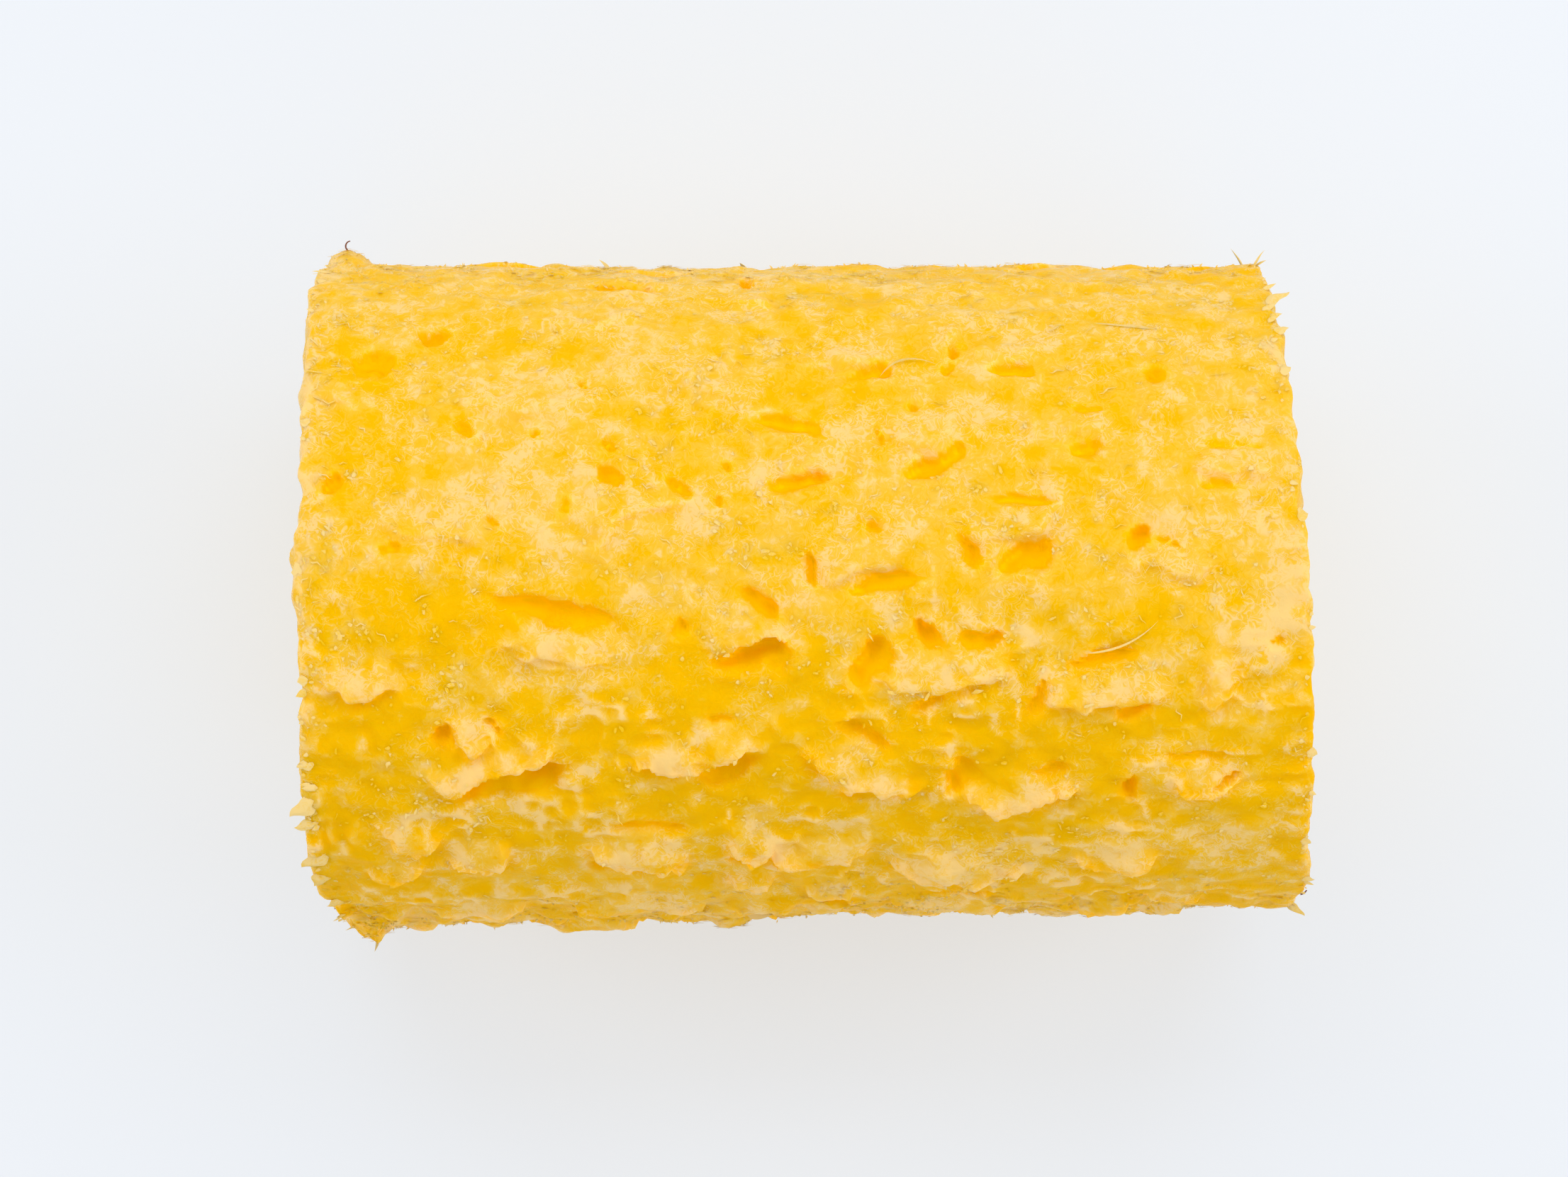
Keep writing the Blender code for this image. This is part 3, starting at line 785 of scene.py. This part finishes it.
def tapered(middle, way, out_way, length, width, arch, sections, flatness, bend=0):
    """Joined slim bodies, pointed at both ends, three-sided, and arched out of the surface by a parabola.

    Each has this many three-cornered sections between its two tips. Its width follows a half sine of the
    length to the power 0.7, its thickness is the width times the flatness, and it bends sideways by a sine of
    one and a half waves."""
    count = len(middle)
    side_way = np.cross(out_way, way)
    share = np.arange(1, sections + 1) / (sections + 1)
    share = np.concatenate(((0,), share, (1,)))
    spine = (share - 0.5)[None, :, None] * (way * length[:, None])[:, None, :]
    spine = spine + (1 - (2 * share - 1) ** 2)[None, :, None] * (out_way * arch[:, None])[:, None, :]
    wave = np.sin(3 * np.pi * share)[None, :, None] * side_way[:, None, :] * length[:, None, None]
    spine = spine + middle[:, None, :] + wave * np.reshape(bend, (-1, 1, 1))
    corner = np.radians((90, 210, 330))
    round_it = side_way[:, None, :] * np.cos(corner)[None, :, None]
    round_it = round_it + flatness * out_way[:, None, :] * np.sin(corner)[None, :, None]
    girth = np.sin(np.pi * share[1:-1] ** 0.7)[None, :, None, None] * width[:, None, None, None] / 2
    body = (spine[:, 1:-1, None, :] + girth * round_it[:, None, :, :]).reshape(count, -1, 3)
    points = np.concatenate((spine[:, :1], body, spine[:, -1:]), axis=1)
    here = np.arange(3)
    after = (here + 1) % 3
    faces = [np.stack((np.zeros(3, int), 1 + after, 1 + here), axis=1)]
    for section in range(sections - 1):
        first = 1 + 3 * section
        faces.append(np.stack((first + here, first + after, first + 3 + after), axis=1))
        faces.append(np.stack((first + here, first + 3 + after, first + 3 + here), axis=1))
    last = 1 + 3 * (sections - 1)
    faces.append(np.stack((last + here, last + after, np.full(3, last + 3)), axis=1))
    faces = np.concatenate(faces)
    per_body = points.shape[1]
    every = faces[None, :, :] + (np.arange(count) * per_body)[:, None, None]
    return points.reshape(-1, 3), every.reshape(-1, 3), per_body


def flakes(draws, middle, way, out_way, length, width, thickness, corners):
    """Flat flakes: a ragged outline of this many corners round an ellipse, and a middle point on each face.

    Each corner lies at a random share, from a third to all, of the ellipse's radius, and the upper middle
    point stands up by the thickness."""
    count = len(middle)
    side_way = np.cross(out_way, way)
    angle = (np.arange(corners) + draws.uniform(-0.35, 0.35, (count, corners))) * 2 * np.pi / corners
    reach = draws.uniform(0.33, 1, (count, corners))
    ahead = (reach * np.cos(angle) * length[:, None] / 2)[:, :, None] * way[:, None, :]
    aside = (reach * np.sin(angle) * width[:, None] / 2)[:, :, None] * side_way[:, None, :]
    rise = out_way * thickness[:, None]
    centres = np.stack((middle + rise, middle - rise), axis=1)
    points = np.concatenate((middle[:, None] + ahead + aside, centres), axis=1)
    here = np.arange(corners)
    after = (here + 1) % corners
    top = np.stack((here, after, np.full(corners, corners)), axis=1)
    bottom = np.stack((after, here, np.full(corners, corners + 1)), axis=1)
    per_body = corners + 2
    every = np.concatenate((top, bottom))[None, :, :] + (np.arange(count) * per_body)[:, None, None]
    return points.reshape(-1, 3), every.reshape(-1, 3), per_body


def flesh_piece(name, bodies, pale, turn, material):
    """One object of the fruit from joined bodies in mm, with a paleness and a turn from the top for each.

    Light soaks through shreds this thin, so they are shaded by the skin they lie on: each normal is the way
    out of the barrel, a share of it turned up, and a share of the shred's own."""
    points, faces, per_body = bodies
    pale = np.repeat(pale, per_body).astype(np.float32)
    ways_out = np.repeat(barrel_ways(turn)[2], per_body, axis=0)
    mesh = bpy.data.meshes.new(name)
    mesh.from_pydata((points * MM).tolist(), [], faces.tolist())
    mesh.attributes.new("pale", "FLOAT", "POINT").data.foreach_set("value", pale)
    mesh.shade_smooth()
    own = np.empty(len(points) * 3)
    mesh.vertex_normals.foreach_get("vector", own)
    normals = ways_out + OWN_SHADING * own.reshape(-1, 3) + LIT_FROM_ABOVE * np.array((0, 0, 1))
    mesh.normals_split_custom_set_from_vertices(unit(normals))
    mesh.materials.append(material)
    piece = placed(name, mesh)
    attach(piece, "root")


def laid(draws, turn, lay):
    """Directions of slim bodies on the skin, and the ways out of it that are square to them."""
    lean_middle, lean_spread, lift = lay
    along_way, round_way, out_way = barrel_ways(turn)
    lean = np.radians(lean_middle + draws.normal(0, lean_spread, len(turn)))[:, None]
    rise = lift * out_way * draws.normal(0, 1, (len(turn), 1))
    way = unit(round_way * np.cos(lean) + along_way * np.sin(lean) + rise)
    return way, squared(out_way, way)


def sac_density(plain, along, turn):
    """In small clusters within larger crowds, a little thinner on pale flesh, and none in the chambers."""
    _, tone, hollow = carved(plain)
    cluster = smooth(lattice_noise(plain, CLUSTER_CELL, 31) * 2 + 0.2)
    crowd = smooth(lattice_noise(plain, CROWD_CELL, 32) * 1.8 + 0.4)
    return cluster * (0.15 + 0.85 * crowd) * (1 - 0.4 * tone) * (hollow < 0.1)


# No light soaks through the shreds, so their colours are paler than the barrel's: painted light in its place.
TORN_TONES_LIGHTENED = ((0.0, "#FFC400"), (0.3, "#FFC80A"), (0.5, "#FFCC26"), (0.72, "#FFD35C"), (1.0, "#FFDE90"))
torn = ripe_flesh("torn_pineapple_flesh_painted_light", 0.0, 0.0, TORN_TONES_LIGHTENED)
draws = np.random.default_rng(5)
skin, tone, turn = scattered(draws, SACS, sac_density)
way, out_way = laid(draws, turn, SAC_LAY)
length = draws.uniform(*SAC_LENGTHS, len(turn)) * draws.uniform(0.5, 1, len(turn))
width = draws.uniform(*SAC_WIDTHS, len(turn))
thick = draws.uniform(*SAC_THICKNESS, len(turn))
bodies = flakes(draws, skin + SAC_OFF * out_way, way, out_way, length, width, thick, SAC_CORNERS)
flesh_piece("torn_sacs", bodies, pale_at(draws, tone, SAC_PALE), turn, torn)

# ------------------------------------------------------------------------------
# Fibres. They are the fruit's own fine strings, bared by the sleeve: they lie along the barrel at the left
# end and on the two long flanks, where they mat to a pale net, and are few between.
# ------------------------------------------------------------------------------

FIBRES = 3600
FIBRE_LENGTHS = (0.8, 3.4)
FIBRE_WIDTHS = (0.12, 0.26)
FIBRE_SECTIONS = 5
FIBRE_FLATNESS = 0.2
FIBRE_ARCH = 0.03
FIBRE_BEND = 0.12
FIBRE_OFF = 0.12
FIBRE_LAY = (75, 50, 0.05)
FIBRE_PALE = (0.15, 0.5, 0.35, 1.5, 0.75)
NET_FADE = (62, 16)
COMBED_LENGTH = 12.0


def fibre_density(plain, along, turn):
    """Thick on the flanks and, behind the top, at the left end, thin elsewhere, in clusters, and none in the
    chambers."""
    _, _, hollow = carved(plain)
    combed = 0.6 * smooth((COMBED_LENGTH - along) / 8) * smooth((10 - turn) / 20)
    cluster = smooth(lattice_noise(plain, 3.5, 33) * 2.2 + 0.35)
    return np.maximum(0.05, np.maximum(faded(np.abs(turn), NET_FADE), combed)) * cluster * (hollow < 0.1)


draws = np.random.default_rng(6)
skin, tone, turn = scattered(draws, FIBRES, fibre_density)
way, out_way = laid(draws, turn, FIBRE_LAY)
length = draws.uniform(*FIBRE_LENGTHS, len(turn)) * draws.uniform(0.5, 1, len(turn))
width = draws.uniform(*FIBRE_WIDTHS, len(turn))
bend = FIBRE_BEND * draws.normal(0, 1, len(turn))
bodies = tapered(skin + FIBRE_OFF * out_way, way, out_way, length, width, FIBRE_ARCH * length, FIBRE_SECTIONS,
                 FIBRE_FLATNESS, bend)
flesh_piece("bared_fibres", bodies, pale_at(draws, tone, FIBRE_PALE), turn, torn)

# ------------------------------------------------------------------------------
# The fringe. These are pointed shreds that the knife and the sleeve left standing out from the flesh: long
# ones and broad flaps round both cut rims, and shorter ones on the flanks, below the shoulders.
# ------------------------------------------------------------------------------

RIM_SHREDS = 240
RIM_REACH = (0.3, 0.9)
RIM_INSET = (0.1, 1.6)
RIM_PALE = (0.35, 0.4, 0.3, 1, 1)
LONGEST_SHRED = 2.0

# Longer shreds: (turn deg, spread deg, times as long), at the left rim and at the right rim.
LONG_LEFT = ((40, 22, 1.5), (82, 12, 0.8), (-78, 10, 0.8))
LONG_RIGHT = ((-62, 14, 1.3), (-85, 10, 1.0), (75, 12, 0.6))

draws = np.random.default_rng(7)
turn = draws.uniform(-COVERED_TURN, COVERED_TURN, RIM_SHREDS)
at_left = draws.random(RIM_SHREDS) < 0.5
ragged = smooth(lattice_noise(rim_place(np.where(at_left, 0, LENGTH), turn), 3.0, 35) + 0.5)
inset = draws.uniform(*RIM_INSET, RIM_SHREDS)
along = np.where(at_left, inset, LENGTH - inset)
skin, tone, _ = carved(rim_place(along, turn))
more = sum(np.where(at_left, hump(turn, place), 0) for place in LONG_LEFT)
more = more + sum(np.where(at_left, 0, hump(turn, place)) for place in LONG_RIGHT)
length = draws.uniform(*RIM_REACH, RIM_SHREDS) * draws.uniform(0.4, 1, RIM_SHREDS)
length = np.minimum(length * (0.4 + 1.2 * ragged) * (1 + more), LONGEST_SHRED)
along_way, round_way, out_way = barrel_ways(turn)
outward = np.where(at_left, -1, 1)[:, None] * along_way
way = outward + 0.45 * round_way * draws.normal(0, 1, (RIM_SHREDS, 1)) + 0.2 * out_way
way = unit(way + 0.25 * out_way * draws.normal(0, 1, (RIM_SHREDS, 1)))
middle = skin + way * (length * 0.3)[:, None]
width = 0.4 + 0.8 * length * draws.uniform(0.3, 1, RIM_SHREDS)
bodies = tapered(middle, way, squared(out_way, way), length * 1.3, width, 0.05 * length, 3, 0.25)
flesh_piece("rim_shreds", bodies, pale_at(draws, tone, RIM_PALE), turn, torn)

# Broad flaps: (distance from the left end mm, turn deg, length mm, width mm, lean from the end way to the
# front deg, rise off the skin deg). Those beyond the middle point to the right.
FLAPS = (
    (0.9, 37, 4.6, 3.0, 38, 0), (0.7, 42, 3.0, 2.4, 10, 5), (1.6, 50, 4.8, 3.2, 42, 0),
    (1.4, 56, 3.4, 2.6, 60, 5), (1.0, 29, 2.4, 2.0, 20, 0), (2.4, 66, 3.0, 2.2, 30, 10),
    (0.8, 14, 1.6, 2.2, 15, 0), (1.0, -4, 1.4, 2.4, 10, 0), (5.2, 91, 2.6, 2.6, 0, 80),
    (3.4, 88, 2.2, 1.8, 0, 50), (1.6, -70, 2.0, 2.0, -30, 5), (0.9, -30, 1.4, 2.2, -10, 0),
    (122.2, -87, 4.4, 1.7, 180, 62), (123.2, -82, 3.4, 1.6, 0, 60), (123.6, -60, 4.4, 2.2, -35, 10),
    (123.4, -50, 2.4, 1.8, -20, 5), (123.4, -40, 1.8, 2.0, -30, 0), (123.4, 80, 3.6, 2.4, 35, 30),
    (123.4, 64, 2.0, 2.0, 10, 0), (123.5, 30, 1.6, 2.2, 15, 0), (123.5, -12, 1.5, 2.2, -15, 0),
    (123.5, 50, 1.8, 2.0, 25, 0), (38, -88, 2.4, 3.2, 0, 50), (56, -87, 2.2, 3.0, 20, 50),
)
FLAP_BEND = 0.05
FLAP_SUNK = 0.15
along, turn, length, width, lean, rise = np.array(FLAPS, dtype=float).T
skin, tone, _ = carved(rim_place(along, turn))
along_way, round_way, out_way = barrel_ways(turn)
lean = np.radians(lean)[:, None]
rise = np.radians(rise)[:, None]
outward = np.where(along < LENGTH / 2, -1, 1)[:, None] * along_way
flat = outward * np.cos(lean) + round_way * np.sin(lean)
way = flat * np.cos(rise) + out_way * np.sin(rise)
flat_way = out_way * np.cos(rise) - flat * np.sin(rise)
middle = skin + way * (length * 0.22)[:, None] - FLAP_SUNK * out_way
bend = FLAP_BEND * np.where(np.arange(len(turn)) % 2, 1, -1)
bodies = tapered(middle, way, flat_way, length, width, 0.06 * length, 7, 0.2, bend)
flesh_piece("rim_flaps", bodies, np.clip(0.6 + 0.3 * tone, 0, 1), turn, torn)

SIDE_SHREDS = 1800
SIDE_REACH = (0.35, 0.9)
SIDE_WIDTHS = (0.2, 0.4)
SIDE_PALE = (0.35, 0.5, 0.3, 1, 1)
SHOULDER_FADE = (58, 14)


def fringe_density(plain, along, turn):
    """In the same crowds as the sacs, but only below the shoulders of the barrel."""
    return sac_density(plain, along, turn) * faded(np.abs(turn), SHOULDER_FADE)


draws = np.random.default_rng(8)
skin, tone, turn = scattered(draws, SIDE_SHREDS, fringe_density)
along_way, round_way, out_way = barrel_ways(turn)
way = out_way + draws.normal(0, 0.8, (len(turn), 1)) * along_way
way = unit(way + draws.normal(0, 0.5, (len(turn), 1)) * round_way)
flat_way = unit(np.cross(way, along_way))
length = draws.uniform(*SIDE_REACH, len(turn))
width = draws.uniform(*SIDE_WIDTHS, len(turn))
bodies = tapered(skin + way * (0.15 * length)[:, None], way, flat_way, length, width, 0 * length, 1, 0.5)
flesh_piece("side_shreds", bodies, pale_at(draws, tone, SIDE_PALE), turn, torn)

# ------------------------------------------------------------------------------
# Odd scraps. They are what else the peeling left: three long pale strands on the flesh, a pale sliver that
# hangs at the front edge, and two specks of brown leaf from between the eyes, held by the flesh.
# ------------------------------------------------------------------------------

# Strands: (distance from the left end mm, turn from the top deg) at both ends, width mm, arch to the back mm.
STRANDS = (
    ((72.5, -38.5), (80.0, -41.5), 0.3, 2.2),
    ((97.0, 11.0), (106.0, 5.5), 0.36, -1.2),
    ((99.0, -52.0), (110.5, -48.5), 0.28, 0.2),
)
STRAND_SECTIONS = 8
STRAND_LIFT = 0.3
STRAND_PALE = 0.7


def strand(start, end, width, arch):
    """One strand laid over the skin from place to place, arched sideways round the barrel."""
    turns = np.array((start[1], end[1]))
    ends, _, _ = carved(rim_place(np.array((start[0], end[0])), turns))
    ends = ends + STRAND_LIFT * barrel_ways(turns)[2]
    way = ends[1:] - ends[:1]
    length = np.linalg.norm(way, axis=1)
    way = way / length
    back_way = -barrel_ways(turns.mean(keepdims=True))[1]
    back_way = back_way - way * np.dot(back_way[0], way[0])
    middle = ends.mean(axis=0)[None, :]
    return tapered(middle, way, back_way, length, np.array((width,)), np.array((arch,)), STRAND_SECTIONS, 1)


for number, (start, end, width, arch) in enumerate(STRANDS, 1):
    middle_turn = np.array(((start[1] + end[1]) / 2,))
    flesh_piece(f"long_strand_{number}", strand(start, end, width, arch), STRAND_PALE, middle_turn, torn)

# The sliver: (distance from the left end mm, turn deg), (length, width), how far it stands off, and its arch,
# in mm.
SLIVER = (57.6, 88.0)
SLIVER_SIZE = (3.2, 1.3)
SLIVER_OFF = 0.5
SLIVER_ARCH = 0.3
SLIVER_PALE = 0.8
place = np.array((SLIVER[1],))
along_way, round_way, out_way = barrel_ways(place)
middle = carved(rim_place(np.array((SLIVER[0],)), place))[0] + SLIVER_OFF * out_way
bodies = tapered(middle, along_way, round_way, np.array(SLIVER_SIZE[:1]), np.array(SLIVER_SIZE[1:]),
                 np.array((SLIVER_ARCH,)), 6, 0.3)
flesh_piece("hanging_sliver", bodies, SLIVER_PALE, place, torn)


def curled_leaf(length, width, thickness, curl, steps):
    """A narrow leaf scrap in its own frame: a strip from the origin along +X that curls up through an angle.

    Its half width falls from the root to the tip as the square root of what is left, and both faces and all
    edges are closed."""
    share = np.linspace(0, 1, steps)
    angle = curl * share
    spine = np.column_stack((np.cumsum(np.cos(angle)), 0 * share, np.cumsum(np.sin(angle)))) * length / steps
    up = np.column_stack((-np.sin(angle), 0 * share, np.cos(angle)))
    half = np.sqrt(1.02 - share)[:, None] * width / 2
    corners = [spine + side * half * np.array((0, 1, 0)) + level * up * thickness / 2
               for side, level in ((-1, -1), (1, -1), (1, 1), (-1, 1))]
    points = np.stack(corners, axis=1).reshape(-1, 3)
    ring = 4 * np.arange(steps - 1)[:, None]
    here = np.arange(4)[None, :]
    after = (here + 1) % 4
    quads = np.stack((ring + here, ring + after, ring + 4 + after, ring + 4 + here), axis=-1).reshape(-1, 4)
    last = 4 * (steps - 1)
    caps = np.array(((3, 2, 1, 0), (last, last + 1, last + 2, last + 3)))
    return points, np.concatenate((quads, caps))


# Leaf scraps: (name, distance from the left end mm, turn deg, length mm, width mm, curl deg, facing deg)
LEAVES = (
    ("bract_at_left_corner", 2.6, -86.0, 1.7, 1.0, 130.0, 215.0),
    ("bract_at_right_corner", 123.4, 70.0, 1.1, 0.6, 60.0, 0.0),
)
LEAF_THICKNESS = 0.14
LEAF_STEPS = 9
dry = finish("dry_brown_bract", {"Base Color": linear("#7A3C16"), "Roughness": 0.6})
for name, along_at, turn_at, length, width, curl, facing in LEAVES:
    points, faces = curled_leaf(length, width, LEAF_THICKNESS, np.radians(curl), LEAF_STEPS)
    place = np.array((turn_at,))
    root = carved(rim_place(np.array((along_at,)), place))[0][0]
    along_way, round_way, out_way = (way[0] for way in barrel_ways(place))
    first_way = np.cos(np.radians(facing)) * along_way - np.sin(np.radians(facing)) * out_way
    second_way = np.cross(along_way, out_way)
    third_way = np.cross(first_way, second_way)
    points = root + points @ np.stack((first_way, second_way, third_way))
    mesh = bpy.data.meshes.new(name)
    mesh.from_pydata((points * MM).tolist(), [], faces.tolist())
    mesh.materials.append(dry)
    leaf = placed(name, mesh)
    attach(leaf, "root")

# ------------------------------------------------------------------------------
# The studio: a plain pale board, soft boxes on all sides, and a camera straight above the fruit.
# ------------------------------------------------------------------------------

FLOOR_SIZE = 3.0
BOARD_GLOW = 0.485
board = bpy.data.meshes.new("pale_board")
half = FLOOR_SIZE / 2
corners = [(-half, -half, 0), (half, -half, 0), (half, half, 0), (-half, half, 0)]
board.from_pydata(corners, [], [(0, 1, 2, 3)])
floor = placed("pale_board", board)
board.materials.append(finish("matte_white_board", {
    "Base Color": linear("#A8B0BB"),
    "Roughness": 0.9,
    "Specular IOR Level": 0.1,
    "Emission Color": linear("#FFFFFF"),
    "Emission Strength": BOARD_GLOW,
}))

WORLD_STRENGTH = 0.565
world = bpy.data.worlds.new("light_tent")
world.use_nodes = True
feed(world.node_tree.nodes["Background"], {"Color": linear("#FFFFFF"), "Strength": WORLD_STRENGTH})
bpy.context.scene.world = world

# (name, place m, width m, height m, watts)
SOFT_BOXES = (
    ("back_box", (0.0, 0.70, 0.95), 1.1, 0.6, 3.8),
    ("front_box", (0.35, -0.90, 0.65), 1.1, 0.5, 1.0),
    ("left_box", (-1.0, 0.15, 0.65), 0.7, 0.5, 2.6),
    ("right_box", (1.0, 0.15, 0.65), 0.7, 0.5, 3.2),
)
AIM_HEIGHT = 0.04
for name, place, width, height, watts in SOFT_BOXES:
    light = bpy.data.lights.new(name, "AREA")
    light.shape = "RECTANGLE"
    light.size = width
    light.size_y = height
    light.energy = watts
    box = placed(name, light)
    away = np.array(place) - (0, 0, AIM_HEIGHT)
    box.location = place
    box.rotation_euler = (np.arccos(away[2] / np.linalg.norm(away)), 0, np.arctan2(away[0], -away[1]))

# The lens sees the whole frame, 2212 by 1661, with 6562 pixels for each tangent of one.
SENSOR = 36.0
FRAME_WIDTH = 2212
PIXELS_FOR_TANGENT = 6562
camera = bpy.data.cameras.new("camera")
camera.sensor_width = SENSOR
camera.lens = SENSOR * PIXELS_FOR_TANGENT / FRAME_WIDTH
camera.clip_start = 0.01
eye = placed("camera", camera)
eye.location = (-0.0023, 0.00075, 0.6425)
bpy.context.scene.camera = eye
bpy.context.scene.view_settings.view_transform = "Standard"
